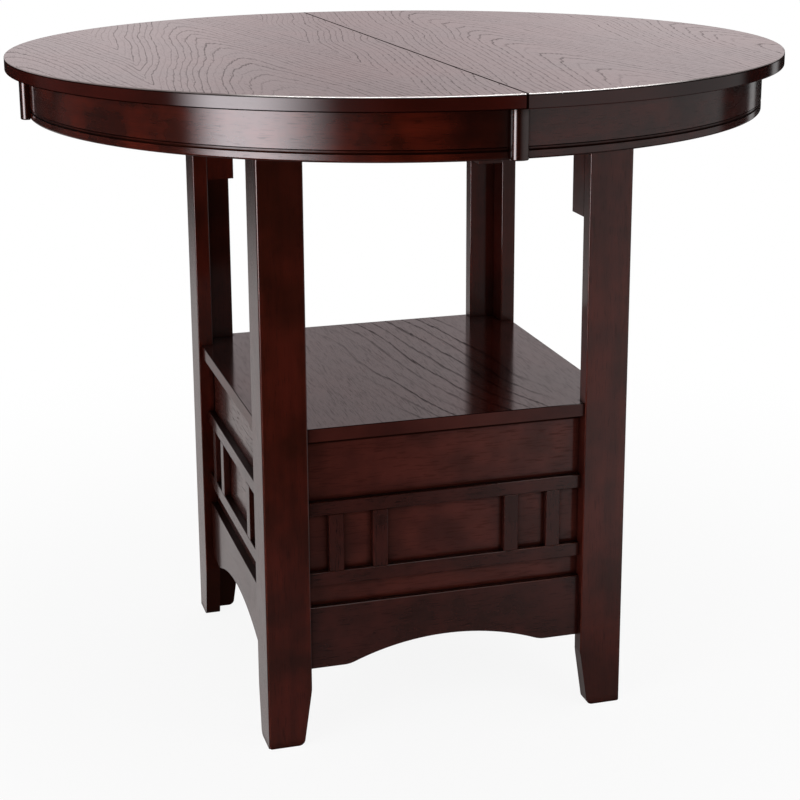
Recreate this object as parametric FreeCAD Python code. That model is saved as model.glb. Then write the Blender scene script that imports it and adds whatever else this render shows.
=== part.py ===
import FreeCAD, Part
import math
import os

# Round counter height table on a square base. The top is two half discs that slide apart
# on a pair of geared slides. Lengths are in millimetres, z is up, the front is at -y and
# the seam of the top lies along y.

# Whole table
table_height = 914.4
top_diameter = 1066.8
base_width = 510.0
top_travel = 228.6

# Half tops
top_thickness = 18.0
top_edge_round = 1.5
seam_gap = 0.4
dowel_radius = 4.0
dowel_reach = 14.0
dowel_end_chamfer = 1.0
dowel_socket_clearance = 0.3
dowel_place_shares = (-0.79, -0.46, 0.46, 0.79)

# Curved apron under the top
top_overhang = 28.4
apron_thickness = 18.0
apron_height = 61.4
apron_lip_height = 9.5
apron_groove_height = 5.6
apron_groove_depth = 2.6
apron_bead_depth = 0.7
apron_groove_share = 0.42
apron_bead_share = 0.78
apron_lip_round = 2.5

# Cover blocks on the apron
cover_block_width = 20.0
cover_block_projection = 12.0
cover_block_round = 1.5
cover_block_clearance = 0.5

# Glue blocks behind the apron
glue_block_length = 40.0
glue_block_width = 16.0
glue_block_height = 18.0
glue_block_clearance = 0.5
glue_block_turns = (24.0, 48.0, 74.0, 106.0, 132.0, 156.0)

# Legs, each an L of two mitred boards
leg_board_width = 61.0
leg_board_thickness = 22.0
leg_corner_round = 3.0
leg_end_round = 1.5
foot_taper_height = 82.0
foot_taper = 12.0
foot_inner_round = 9.0
foot_outer_round = 4.0
leg_block_length = 163.4
leg_block_chamfer = 6.0

# Shelf
shelf_top_height = 448.0
shelf_thickness = 18.0
shelf_setback = 5.0
shelf_edge_chamfer = 0.8

# Box under the shelf
panel_thickness = 12.0
panel_height = 280.0
cleat_width = 25.0
lattice_thickness = 10.0
lattice_strip_height = 19.0
lattice_drop = 87.0
lattice_height = 119.0
slat_width = 20.5
slat_place_shares = (-0.794, -0.479, 0.479, 0.794)
lattice_chamfer = 0.7

# Arched lower apron
arch_board_gap = 30.5
arch_board_height = 88.5
arch_rise = 27.0
arch_flat_length = 49.0
arch_blend_radius = 40.0

# Top rails between the legs
rail_thickness = 20.0
rail_height = 62.0
rail_setback = 3.0
rail_chamfer = 1.0

# Corner brackets and their bolts
bracket_thickness = 2.5
bracket_height = 50.0
bracket_flange_length = 28.0
bracket_bolt_radius = 4.0
bracket_bolt_end_gap = 11.4
bracket_bolt_head_radius = 7.5
bracket_bolt_head_height = 5.3
bolt_fit = 0.1

# Bolts from inside the box into the leg boards
leg_bolt_radius = 3.0
leg_bolt_bite = 12.0
leg_bolt_head_radius = 5.5
leg_bolt_head_height = 3.0
leg_bolt_face_height_shares = (0.18, 0.82)
leg_bolt_side_height_shares = (0.29, 0.71)

# Screws
screw_radius = 2.0
screw_head_radius = 3.8
screw_head_height = 2.4
frame_screw_length = 16.0
runner_screw_length = 24.0
runner_screw_bite = 8.8
screw_fit = 0.1
bracket_screw_shares = (0.25, 0.75)

# Geared slides
slide_inset = 115.0
slide_height = 30.0
center_runner_width = 24.0
center_runner_top_gap = 3.0
center_runner_end_gap = 2.0
runner_groove_bottom = 4.0
runner_groove_height = 8.0
runner_groove_depth = 6.0
runner_clearance = 0.3
runner_floor_clearance = 0.8
runner_top_clearance = 0.6
half_runner_width = 20.0
half_runner_end_gap = 6.85
half_runner_run_out = 27.4
half_runner_screw_edge = 6.8
half_runner_screw_bore_radius = 4.4
half_runner_screw_shares = (0.09, 0.36, 0.64, 0.92)
gear_module = 2.0
pinion_teeth = 16
pinion_thickness = 8.0
pinion_floor_thickness = 3.2
pinion_side_clearance = 0.4
pinion_tip_clearance = 0.8
pinion_stub_radius = 4.0
pinion_stub_fit = 0.05
pinion_stub_reach = 9.0
pinion_stub_top_gap = 0.2
gear_backlash = 0.1
rack_addendum_share = 0.85
gear_dedendum_share = 1.25
pressure_angle = math.radians(20.0)
involute_steps = 5
rack_teeth_before = 3

# A cut runs past the face it opens by this much
overrun = 5.0
full_turn = 360.0
quarter_turn = 90.0
corner_count = 4
hex_sides = 6

# Sizes that follow from the ones above
top_radius = top_diameter / 2
half_base = base_width / 2
top_underside = table_height - top_thickness
apron_outer_radius = top_radius - top_overhang
apron_inner_radius = apron_outer_radius - apron_thickness
apron_bottom = top_underside - apron_height
leg_height = top_underside - slide_height
inner_face = half_base - leg_board_thickness
board_end = half_base - leg_board_width
leg_block_bottom = leg_height - leg_block_length
shelf_bottom = shelf_top_height - shelf_thickness
panel_bottom = shelf_bottom - panel_height
lattice_top = shelf_bottom - lattice_drop
lattice_bottom = lattice_top - lattice_height
arch_board_top = lattice_bottom - arch_board_gap
arch_board_bottom = arch_board_top - arch_board_height
glue_block_face = math.sqrt(
    (apron_inner_radius - glue_block_clearance) ** 2 - (glue_block_length / 2) ** 2
)
center_runner_height = slide_height - center_runner_top_gap
half_runner_inset = center_runner_width / 2 + runner_clearance
slide_offset = half_base - slide_inset
half_runner_side = slide_offset + half_runner_inset + half_runner_width
half_runner_outer_reach = math.sqrt(
    (glue_block_face - glue_block_width - half_runner_end_gap) ** 2 - half_runner_side ** 2
)
half_runner_screw_inset = half_runner_width - half_runner_screw_edge
half_runner_bottom = leg_height + runner_floor_clearance
runner_screw_level = top_underside + runner_screw_bite - runner_screw_length
pinion_bottom = (
    leg_height + runner_groove_bottom + runner_groove_height
    + pinion_floor_thickness + pinion_side_clearance
)
pitch_radius = gear_module * pinion_teeth / 2
tooth_pitch = math.pi * gear_module
half_runner_inner_reach = top_travel + half_runner_run_out
rack_teeth_after = math.ceil((top_travel + pitch_radius) / tooth_pitch) + 1
rail_bottom = leg_height - rail_height
bracket_middle = leg_height - rail_height / 2

up = FreeCAD.Vector(0, 0, 1)
center = FreeCAD.Vector(0, 0, 0)


def vector(x, y, z):
    return FreeCAD.Vector(x, y, z)


def box(low, high):
    size = [h - l for l, h in zip(low, high)]
    return Part.makeBox(size[0], size[1], size[2], vector(*low))


def eased_box(low, high, chamfer):
    shape = box(low, high)
    return shape.makeChamfer(chamfer, shape.Edges)


def turned(shape, angle, middle=center):
    copy = shape.copy()
    copy.rotate(middle, up, angle)
    return copy


def cylinder(radius, length, start, direction):
    return Part.makeCylinder(radius, length, start, direction)


def rounded_wire(corners, place):
    """Closed outline through corners (a, b, radius), with place mapping a, b to 3-D."""
    count = len(corners)
    edges = []
    joints = []
    for index, (a, b, radius) in enumerate(corners):
        here = FreeCAD.Vector(a, b, 0)
        before = FreeCAD.Vector(corners[index - 1][0], corners[index - 1][1], 0)
        after_corner = corners[(index + 1) % count]
        after = FreeCAD.Vector(after_corner[0], after_corner[1], 0)
        back = (before - here).normalize()
        ahead = (after - here).normalize()
        if radius == 0:
            joints.append((here, None, here))
            continue
        half_angle = back.getAngle(ahead) / 2
        tangent = radius / math.tan(half_angle)
        bisector = (back + ahead).normalize()
        middle = here + bisector * (radius / math.sin(half_angle) - radius)
        joints.append((here + back * tangent, middle, here + ahead * tangent))
    for index, (entry, middle, leave) in enumerate(joints):
        if middle is not None:
            points = [place(p.x, p.y) for p in (entry, middle, leave)]
            edges.append(Part.Arc(*points).toShape())
        next_entry = joints[(index + 1) % count][0]
        edges.append(Part.makeLine(place(leave.x, leave.y), place(next_entry.x, next_entry.y)))
    return Part.Wire(edges)


def prism(corners, place, direction):
    return Part.Face(rounded_wire(corners, place)).extrude(direction)


# Fasteners

def pan_screw(radius, length, head_radius, head_height, seat, direction):
    """Round headed screw whose head sits on the seat point, shank along direction."""
    shank = cylinder(radius, length, seat, direction)
    head = cylinder(head_radius, head_height, seat - direction * head_height, direction)
    return shank.fuse(head).removeSplitter()


def hex_bolt(radius, length, head_radius, head_height, seat, direction):
    across = direction.cross(up).normalize()
    corner = seat + across * head_radius
    points = []
    for index in range(hex_sides):
        turn = FreeCAD.Rotation(direction, index * full_turn / hex_sides)
        points.append(seat + turn.multVec(corner - seat))
    points.append(points[0])
    head = Part.Face(Part.makePolygon(points)).extrude(direction * -head_height)
    shank = cylinder(radius, length, seat, direction)
    return shank.fuse(head).removeSplitter()


# Legs

def leg_plan():
    """Plan of the board that faces +y in the +x, +y corner, mitred at the outer corner."""
    outer = half_base
    arc_middle = outer - leg_corner_round + leg_corner_round / math.sqrt(2)
    inner_corner = vector(inner_face, inner_face, 0)
    mitre_tip = vector(arc_middle, arc_middle, 0)
    arc_end = vector(outer - leg_corner_round, outer, 0)
    arc_turn = math.radians(quarter_turn - quarter_turn / corner_count)
    arc_half = vector(
        outer - leg_corner_round + leg_corner_round * math.cos(arc_turn),
        outer - leg_corner_round + leg_corner_round * math.sin(arc_turn),
        0,
    )
    r = leg_end_round
    slant = r * (1 - 1 / math.sqrt(2))
    end_a = vector(board_end + r, outer, 0)
    end_b = vector(board_end, outer - r, 0)
    end_c = vector(board_end, inner_face + r, 0)
    end_d = vector(board_end + r, inner_face, 0)
    edges = [
        Part.makeLine(inner_corner, mitre_tip),
        Part.Arc(mitre_tip, arc_half, arc_end).toShape(),
        Part.makeLine(arc_end, end_a),
        Part.Arc(end_a, vector(board_end + slant, outer - slant, 0), end_b).toShape(),
        Part.makeLine(end_b, end_c),
        Part.Arc(end_c, vector(board_end + slant, inner_face + slant, 0), end_d).toShape(),
        Part.makeLine(end_d, inner_corner),
    ]
    return Part.Face(Part.Wire(edges)).extrude(up * leg_height)


def foot_profile():
    """Side view of the same board: straight, with the inner edge tapered at the foot."""
    corners = [
        (board_end, leg_height, 0),
        (board_end, foot_taper_height, 0),
        (board_end + foot_taper, 0, foot_inner_round),
        (half_base, 0, foot_outer_round),
        (half_base, leg_height, 0),
    ]
    behind = inner_face - overrun
    depth = leg_board_thickness + 2 * overrun
    return prism(corners, lambda a, b: vector(a, behind, b), vector(0, depth, 0))


def bolt_heights(shares):
    return [panel_bottom + share * (shelf_bottom - panel_bottom) for share in shares]


def leg_bolt_holes(radius, depth):
    """Holes for the leg bolts in the board that faces +y of the +x, +y corner."""
    place = inner_face - panel_thickness - cleat_width / 2
    holes = []
    for height in bolt_heights(leg_bolt_face_height_shares):
        start = vector(place, inner_face - overrun, height)
        holes.append(cylinder(radius, depth + overrun, start, vector(0, 1, 0)))
    return holes


def leg_face_board():
    board = leg_plan().common(foot_profile())
    return board.cut(leg_bolt_holes(leg_bolt_radius + bolt_fit, leg_bolt_bite + bolt_fit))


def mirrored_on_diagonal(shape):
    """The same shape with x and y exchanged."""
    return shape.mirror(center, vector(1, -1, 0))


def leg_side_board():
    """The board that faces +x: the mirror of the other, with its own bolt heights."""
    board = leg_plan().common(foot_profile())
    place = inner_face - panel_thickness - cleat_width / 2
    holes = []
    for height in bolt_heights(leg_bolt_side_height_shares):
        start = vector(place, inner_face - overrun, height)
        reach = leg_bolt_bite + bolt_fit + overrun
        holes.append(cylinder(leg_bolt_radius + bolt_fit, reach, start, vector(0, 1, 0)))
    return mirrored_on_diagonal(board.cut(holes))


def diagonal_bolt():
    """Seat point, direction and length of the bracket bolt of the +x, +y corner."""
    direction = vector(1, 1, 0).normalize()
    flat = board_end + leg_block_chamfer / 2
    seat = vector(flat, flat, bracket_middle) - direction * bracket_thickness
    far_corner = vector(inner_face, inner_face, bracket_middle)
    return seat, direction, (far_corner - seat).Length - bracket_bolt_end_gap


def leg_block():
    block = box((board_end, board_end, leg_block_bottom), (inner_face, inner_face, leg_height))
    cut_corners = [
        (board_end - overrun, board_end - overrun, 0),
        (board_end + leg_block_chamfer + overrun, board_end - overrun, 0),
        (board_end - overrun, board_end + leg_block_chamfer + overrun, 0),
    ]
    corner = prism(
        cut_corners,
        lambda a, b: vector(a, b, rail_bottom),
        up * (rail_height + overrun),
    )
    seat, direction, length = diagonal_bolt()
    hole = cylinder(bracket_bolt_radius + bolt_fit, length + bolt_fit, seat, direction)
    return block.cut([corner, hole])


# Shelf and the box under it

def shelf():
    outer = half_base - shelf_setback
    side = [
        (-board_end, outer, 0),
        (board_end, outer, 0),
        (board_end, inner_face, 0),
        (inner_face, inner_face, 0),
        (inner_face, board_end, 0),
    ]
    corners = []
    for turn in range(corner_count):
        for a, b, radius in side:
            spun = FreeCAD.Rotation(up, -quarter_turn * turn).multVec(vector(a, b, 0))
            corners.append((spun.x, spun.y, radius))
    thick = vector(0, 0, shelf_thickness)
    board = prism(corners, lambda a, b: vector(a, b, shelf_bottom), thick)
    faces = []
    for edge in board.Edges:
        middle = edge.CenterOfMass
        at_top = abs(middle.z - shelf_top_height) < shelf_edge_chamfer
        reach = max(abs(middle.x), abs(middle.y))
        if at_top and abs(reach - outer) < shelf_edge_chamfer:
            faces.append(edge)
    return board.makeChamfer(shelf_edge_chamfer, faces)


def panel(half_length):
    """Panel on the +y side; the front and back ones run past the ends of the side ones."""
    outside = inner_face
    inside = inner_face - panel_thickness
    return box((-half_length, inside, panel_bottom), (half_length, outside, shelf_bottom))


def panel_bolt_holes(shares):
    place = inner_face - panel_thickness - cleat_width / 2
    holes = []
    for side in (-1, 1):
        for height in bolt_heights(shares):
            start = vector(side * place, inner_face - panel_thickness - overrun, height)
            reach = panel_thickness + 2 * overrun
            holes.append(cylinder(leg_bolt_radius + bolt_fit, reach, start, vector(0, 1, 0)))
    return holes


def cleat():
    """Upright cleat in the +x, +y corner of the box, drilled for four leg bolts."""
    outside = inner_face - panel_thickness
    inside = outside - cleat_width
    shape = box((inside, inside, panel_bottom), (outside, outside, shelf_bottom))
    middle = outside - cleat_width / 2
    radius = leg_bolt_radius + bolt_fit
    reach = cleat_width + 2 * overrun
    holes = []
    for height in bolt_heights(leg_bolt_face_height_shares):
        start = vector(middle, inside - overrun, height)
        holes.append(cylinder(radius, reach, start, vector(0, 1, 0)))
    for height in bolt_heights(leg_bolt_side_height_shares):
        start = vector(inside - overrun, middle, height)
        holes.append(cylinder(radius, reach, start, vector(1, 0, 0)))
    return shape.cut(holes)


def corner_leg_bolts():
    """The four bolts of the +x, +y corner."""
    outside = inner_face - panel_thickness
    inside = outside - cleat_width
    middle = outside - cleat_width / 2
    length = cleat_width + panel_thickness + leg_bolt_bite
    bolts = []
    for height in bolt_heights(leg_bolt_face_height_shares):
        seat = vector(middle, inside, height)
        bolts.append(pan_screw(leg_bolt_radius, length, leg_bolt_head_radius,
                               leg_bolt_head_height, seat, vector(0, 1, 0)))
    for height in bolt_heights(leg_bolt_side_height_shares):
        seat = vector(inside, middle, height)
        bolts.append(pan_screw(leg_bolt_radius, length, leg_bolt_head_radius,
                               leg_bolt_head_height, seat, vector(1, 0, 0)))
    return bolts


def lattice_strips():
    """Long strips on the +y side, above and below the slats."""
    strips = []
    for low in (lattice_bottom, lattice_top - lattice_strip_height):
        start = (-board_end, inner_face, low)
        end = (board_end, inner_face + lattice_thickness, low + lattice_strip_height)
        strips.append(eased_box(start, end, lattice_chamfer))
    return strips


def lattice_slats():
    slats = []
    low = lattice_bottom + lattice_strip_height
    high = lattice_top - lattice_strip_height
    for share in slat_place_shares:
        middle = share * board_end
        start = (middle - slat_width / 2, inner_face, low)
        end = (middle + slat_width / 2, inner_face + lattice_thickness, high)
        slats.append(eased_box(start, end, lattice_chamfer))
    return slats


def arched_board():
    """Lower board on the +y side. A blend arc leads from each flat end into one wide arch."""
    start_x = board_end - arch_flat_length
    blend = arch_blend_radius
    arch_radius = (start_x ** 2 + arch_rise ** 2) / (2 * arch_rise) - blend
    top_z = arch_board_bottom + arch_rise
    arch_z = top_z - arch_radius
    ratio = arch_radius / (arch_radius + blend)
    join_x = start_x * ratio
    join_z = arch_z + (arch_board_bottom + blend - arch_z) * ratio
    lean = math.atan2(start_x, arch_board_bottom + blend - arch_z) / 2
    half_x = start_x - blend * math.sin(lean)
    half_z = arch_board_bottom + blend - blend * math.cos(lean)
    place = lambda x, z: vector(x, inner_face, z)
    left_start = place(-board_end, arch_board_bottom)
    left_blend = place(-start_x, arch_board_bottom)
    right_blend = place(start_x, arch_board_bottom)
    right_start = place(board_end, arch_board_bottom)
    left_join = place(-join_x, join_z)
    right_join = place(join_x, join_z)
    edges = [
        Part.makeLine(left_start, left_blend),
        Part.Arc(left_blend, place(-half_x, half_z), left_join).toShape(),
        Part.Arc(left_join, place(0, top_z), right_join).toShape(),
        Part.Arc(right_join, place(half_x, half_z), right_blend).toShape(),
        Part.makeLine(right_blend, right_start),
        Part.makeLine(right_start, place(board_end, arch_board_top)),
        Part.makeLine(place(board_end, arch_board_top), place(-board_end, arch_board_top)),
        Part.makeLine(place(-board_end, arch_board_top), left_start),
    ]
    board = Part.Face(Part.Wire(edges)).extrude(vector(0, lattice_thickness, 0))
    outer = inner_face + lattice_thickness
    front_edges = []
    for edge in board.Edges:
        middle = edge.CenterOfMass
        if abs(middle.y - outer) < lattice_chamfer and abs(abs(middle.x) - board_end) > overrun:
            front_edges.append(edge)
    return board.makeChamfer(lattice_chamfer, front_edges)


# Top frame

def top_rail():
    """Rail on the +y side between the two leg blocks, drilled for the bracket screws."""
    outside = half_base - rail_setback
    inside = outside - rail_thickness
    low = (-board_end, inside, rail_bottom)
    shape = eased_box(low, (board_end, outside, leg_height), rail_chamfer)
    holes = []
    for seat, direction in bracket_screw_seats():
        if direction.y > 0:
            for side in (-1, 1):
                start = vector(side * seat.x, seat.y, seat.z)
                radius = screw_radius + screw_fit
                holes.append(cylinder(radius, frame_screw_length + screw_fit, start, direction))
    return shape.cut(holes)


def bracket_bend():
    """Distance along a rail from the table's middle to the bend of the bracket."""
    rail_inside = half_base - rail_setback - rail_thickness
    return 2 * board_end + leg_block_chamfer - rail_inside


def bracket_screw_seats():
    """Seat points of the four flange screws of the +x, +y bracket."""
    face = half_base - rail_setback - rail_thickness - bracket_thickness
    place = bracket_bend() - bracket_flange_length / 2
    low = bracket_middle - bracket_height / 2
    seats = []
    for share in bracket_screw_shares:
        height = low + share * bracket_height
        seats.append((vector(place, face, height), vector(0, 1, 0)))
        seats.append((vector(face, place, height), vector(1, 0, 0)))
    return seats


def bracket():
    """Steel plate across the +x, +y corner with a flange on each rail."""
    face = half_base - rail_setback - rail_thickness
    bend = bracket_bend()
    bend_turn = math.radians(quarter_turn / 2)
    inner = bracket_thickness * math.tan(bend_turn / 2)
    points = [
        (bend - bracket_flange_length, face),
        (bend, face),
        (face, bend),
        (face, bend - bracket_flange_length),
        (face - bracket_thickness, bend - bracket_flange_length),
        (face - bracket_thickness, bend - inner),
        (bend - inner, face - bracket_thickness),
        (bend - bracket_flange_length, face - bracket_thickness),
    ]
    low = bracket_middle - bracket_height / 2
    corners = [(a, b, 0) for a, b in points]
    plate = prism(corners, lambda a, b: vector(a, b, low), up * bracket_height)
    holes = []
    for seat, direction in bracket_screw_seats():
        radius = screw_radius + screw_fit
        start = seat - direction * overrun
        holes.append(cylinder(radius, bracket_thickness + 2 * overrun, start, direction))
    seat, direction, length = diagonal_bolt()
    start = seat - direction * overrun
    radius = bracket_bolt_radius + bolt_fit
    holes.append(cylinder(radius, bracket_thickness + 2 * overrun, start, direction))
    return plate.cut(holes)


# Half tops and their aprons

def side_of_seam(side):
    """Half space on the -x side (side -1) or the +x side (side 1) of the seam."""
    reach = top_radius + overrun
    near = seam_gap / 2
    x_range = (near, reach) if side > 0 else (-reach, -near)
    return box((x_range[0], -reach, 0), (x_range[1], reach, table_height + overrun))


def half_top(side):
    corners = [
        (0, top_underside, 0),
        (top_radius, top_underside, top_edge_round),
        (top_radius, table_height, top_edge_round),
        (0, table_height, 0),
    ]
    face = Part.Face(rounded_wire(corners, lambda a, b: vector(a, 0, b)))
    disc = face.revolve(center, up, full_turn)
    half = disc.common(side_of_seam(side))
    holes = []
    middle = top_underside + top_thickness / 2
    radius = dowel_radius + (bolt_fit if side > 0 else dowel_socket_clearance)
    depth = dowel_reach + (bolt_fit if side > 0 else dowel_end_chamfer)
    for share in dowel_place_shares:
        start = vector(0, share * top_radius, middle)
        holes.append(cylinder(radius, depth + seam_gap / 2, start, vector(side, 0, 0)))
    for seat in half_runner_screw_seats(side):
        start = vector(seat.x, seat.y, top_underside - overrun)
        reach = overrun + runner_screw_bite + screw_fit
        holes.append(cylinder(screw_radius + screw_fit, reach, start, up))
    return half.cut(holes)


def alignment_dowels():
    middle = top_underside + top_thickness / 2
    dowels = []
    for share in dowel_place_shares:
        start = vector(-dowel_reach, share * top_radius, middle)
        dowel = cylinder(dowel_radius, 2 * dowel_reach, start, vector(1, 0, 0))
        ends = [edge for edge in dowel.Edges if edge.Closed]
        dowels.append(dowel.makeChamfer(dowel_end_chamfer, ends))
    return dowels


def apron_profile():
    """Section of the apron: a groove with a bead in it above a rounded lip."""
    outer = apron_outer_radius
    lip_top = apron_bottom + apron_lip_height
    groove_top = lip_top + apron_groove_height
    deep_end = lip_top + apron_groove_share * apron_groove_height
    bead_end = lip_top + apron_bead_share * apron_groove_height
    return [
        (apron_inner_radius, apron_bottom, 0),
        (outer, apron_bottom, apron_lip_round),
        (outer, lip_top, 0),
        (outer - apron_groove_depth, lip_top, 0),
        (outer - apron_groove_depth, deep_end, 0),
        (outer - apron_bead_depth, deep_end, 0),
        (outer - apron_bead_depth, bead_end, 0),
        (outer - apron_groove_depth, groove_top, 0),
        (outer, groove_top, 0),
        (outer, top_underside, 0),
        (apron_inner_radius, top_underside, 0),
    ]


def quarter_apron(start_turn, side):
    wire = rounded_wire(apron_profile(), lambda a, b: vector(a, 0, b))
    arc = Part.Face(wire).revolve(center, up, quarter_turn)
    return turned(arc, start_turn).common(side_of_seam(side))


def cover_block(clearance_side):
    """Block on the apron at +x. The part on clearance_side stays clear of the apron."""
    inside = apron_outer_radius - overrun
    outside = apron_outer_radius + cover_block_projection
    half = cover_block_width / 2
    top = top_underside
    if clearance_side != 0:
        top = top_underside - cover_block_clearance
    block = box((inside, -half, apron_bottom), (outside, half, top))
    front = []
    for edge in block.Edges:
        middle = edge.CenterOfMass
        if abs(middle.x - outside) < cover_block_round:
            front.append(edge)
    block = block.makeFillet(cover_block_round, front)
    tall = top_underside + overrun
    tools = [cylinder(apron_outer_radius, tall, center, up)]
    if clearance_side != 0:
        wide = cylinder(apron_outer_radius + cover_block_clearance, tall, center, up)
        reach = top_radius
        low_y = 0 if clearance_side > 0 else -reach
        limit = box((0, low_y, 0), (reach, low_y + reach, tall))
        tools.append(wide.common(limit))
    return block.cut(tools)


def glue_blocks(side):
    blocks = []
    far = glue_block_face
    for turn in glue_block_turns:
        low = (far - glue_block_width, -glue_block_length / 2, top_underside - glue_block_height)
        high = (far, glue_block_length / 2, top_underside)
        start = -quarter_turn if side > 0 else quarter_turn
        blocks.append(turned(box(low, high), start + turn))
    return blocks


# Geared slides

def slide_middle(row):
    return row * slide_offset


def pinion_room():
    """Low and high level of the slot that the pinion and the rack teeth turn in."""
    low = pinion_bottom - pinion_side_clearance
    return low, low + pinion_thickness + 2 * pinion_side_clearance


def center_runner(row):
    y = slide_middle(row)
    half = center_runner_width / 2
    reach = half_base - center_runner_end_gap
    top = leg_height + center_runner_height
    shape = box((-reach, y - half, leg_height), (reach, y + half, top))
    tools = []
    groove_low = leg_height + runner_groove_bottom
    for side in (-1, 1):
        near = y + side * (half - runner_groove_depth)
        far = y + side * (half + overrun)
        low_y, high_y = min(near, far), max(near, far)
        low = (-reach - overrun, low_y, groove_low)
        tools.append(box(low, (reach + overrun, high_y, groove_low + runner_groove_height)))
    low, high = pinion_room()
    room = pitch_radius + gear_module + pinion_tip_clearance
    tools.append(box((-room, y - half - overrun, low), (room, y + half + overrun, high)))
    stub = pinion_stub_radius + pinion_stub_fit
    bore_low = pinion_bottom - pinion_stub_reach - pinion_stub_top_gap
    tools.append(cylinder(stub, top + overrun - bore_low, vector(0, y, bore_low), up))
    for seat in center_screw_seats(row):
        radius = screw_radius + screw_fit
        start = vector(seat.x, seat.y, leg_height - overrun)
        tools.append(cylinder(radius, center_runner_height + 2 * overrun, start, up))
        bore = screw_head_radius + screw_fit
        tools.append(cylinder(bore, center_runner_height, seat, up))
    return shape.cut(tools)


def center_screw_seats(row):
    """Screws down into the two side rails, with the heads sunk in the runner."""
    seats = []
    level = leg_height + runner_groove_bottom
    rail_middle = half_base - rail_setback - rail_thickness / 2
    for side in (-1, 1):
        seats.append(vector(side * rail_middle, slide_middle(row), level))
    return seats


def side_rail_holes():
    """Pilot holes of the slide screws, for the rail on the +y side before it is turned."""
    holes = []
    rail_middle = half_base - rail_setback - rail_thickness / 2
    depth = frame_screw_length - runner_groove_bottom + screw_fit
    for row in (-1, 1):
        start = vector(slide_middle(row), rail_middle, leg_height - depth)
        holes.append(cylinder(screw_radius + screw_fit, depth + overrun, start, up))
    return holes


def tooth_points():
    """One pinion tooth about +y: involute flanks from the base circle to the tip."""
    base = pitch_radius * math.cos(pressure_angle)
    tip = pitch_radius + gear_module
    root = pitch_radius - gear_dedendum_share * gear_module
    involute = math.tan(pressure_angle) - pressure_angle
    half_tooth = math.pi / (2 * pinion_teeth) - gear_backlash / pitch_radius + involute
    flank = []
    for step in range(involute_steps + 1):
        radius = base + (tip - base) * step / involute_steps
        roll = math.acos(min(1.0, base / radius))
        flank.append((radius, half_tooth - (math.tan(roll) - roll)))
    flank.insert(0, (root, half_tooth))
    left = [(r, angle) for r, angle in flank]
    right = [(r, -angle) for r, angle in reversed(flank)]
    return left + right


def pinion(row):
    y = slide_middle(row)
    level = pinion_bottom
    points = []
    for tooth in range(pinion_teeth):
        middle = -2 * math.pi * tooth / pinion_teeth
        for radius, angle in tooth_points():
            x = -radius * math.sin(angle + middle)
            z = radius * math.cos(angle + middle)
            points.append(vector(x, y + z, level))
    points.append(points[0])
    gear = Part.Face(Part.makePolygon(points)).extrude(up * pinion_thickness)
    stub_low = level - pinion_stub_reach
    stub_high = leg_height + center_runner_height - pinion_stub_top_gap
    stub = cylinder(pinion_stub_radius, stub_high - stub_low, vector(0, y, stub_low), up)
    return gear.fuse(stub).removeSplitter()


def rack_slot(y):
    """Space between the rack teeth of the runner on the -y side of a slide."""
    low, high = pinion_room()
    flare = math.tan(pressure_angle)
    tip_depth = rack_addendum_share * gear_module
    root_depth = gear_dedendum_share * gear_module
    half_gap = tooth_pitch / 2 / 2
    wide = half_gap + tip_depth * flare
    narrow = half_gap - root_depth * flare
    tip_y = y - pitch_radius + tip_depth
    root_y = y - pitch_radius - root_depth
    open_y = y - center_runner_width / 2 + overrun
    start_x = -rack_teeth_before * tooth_pitch
    end_x = rack_teeth_after * tooth_pitch - tooth_pitch
    points = [vector(end_x + wide, open_y, low), vector(start_x - wide, open_y, low)]
    for tooth in range(-rack_teeth_before, rack_teeth_after):
        middle = tooth * tooth_pitch
        points.append(vector(middle - wide, tip_y, low))
        points.append(vector(middle - narrow, root_y, low))
        points.append(vector(middle + narrow, root_y, low))
        points.append(vector(middle + wide, tip_y, low))
    points.append(points[0])
    return Part.Face(Part.makePolygon(points)).extrude(up * (high - low))


def left_runner(row):
    """Runner under the left half, on the -y side of its slide. It reaches past the seam."""
    y = slide_middle(row)
    inside = y - half_runner_inset
    outside = inside - half_runner_width
    low = half_runner_bottom
    outer_end = -half_runner_outer_reach
    inner_end = half_runner_inner_reach
    under_left = box((outer_end, outside, low), (-overrun, inside, top_underside))
    lowered = top_underside - runner_top_clearance
    under_right = box((-overrun, outside, low), (inner_end, inside, lowered))
    groove_low = leg_height + runner_groove_bottom
    tongue_low = groove_low + runner_clearance
    tongue_high = groove_low + runner_groove_height - runner_clearance
    tongue_end = inside + runner_groove_depth
    tongue = box((outer_end, inside - overrun, tongue_low), (inner_end, tongue_end, tongue_high))
    shape = under_left.fuse([under_right, tongue]).removeSplitter()
    tools = [rack_slot(y)]
    for seat in left_runner_screw_seats(row):
        bottom = vector(seat.x, seat.y, low - overrun)
        bore = half_runner_screw_bore_radius
        tools.append(cylinder(bore, seat.z - bottom.z, bottom, up))
        radius = screw_radius + screw_fit
        tools.append(cylinder(radius, top_underside + overrun - seat.z, seat, up))
    return shape.cut(tools)


def left_runner_screw_seats(row):
    place = slide_middle(row) - half_runner_inset - half_runner_screw_inset
    seats = []
    for share in half_runner_screw_shares:
        seats.append(vector(-share * half_runner_outer_reach, place, runner_screw_level))
    return seats


def half_runner(side, row):
    """The right runner is the left one turned half round about the pinion's axis."""
    runner = left_runner(row)
    if side < 0:
        return runner
    return turned(runner, full_turn / 2, vector(0, slide_middle(row), 0))


def half_runner_screw_seats(side):
    seats = []
    for row in (-1, 1):
        for seat in left_runner_screw_seats(row):
            if side < 0:
                seats.append(seat)
            else:
                seats.append(vector(-seat.x, 2 * slide_middle(row) - seat.y, seat.z))
    return seats


def half_runner_screws(side):
    screws = []
    for seat in half_runner_screw_seats(side):
        screws.append(pan_screw(screw_radius, runner_screw_length, screw_head_radius,
                                screw_head_height, seat, up))
    return screws


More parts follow.
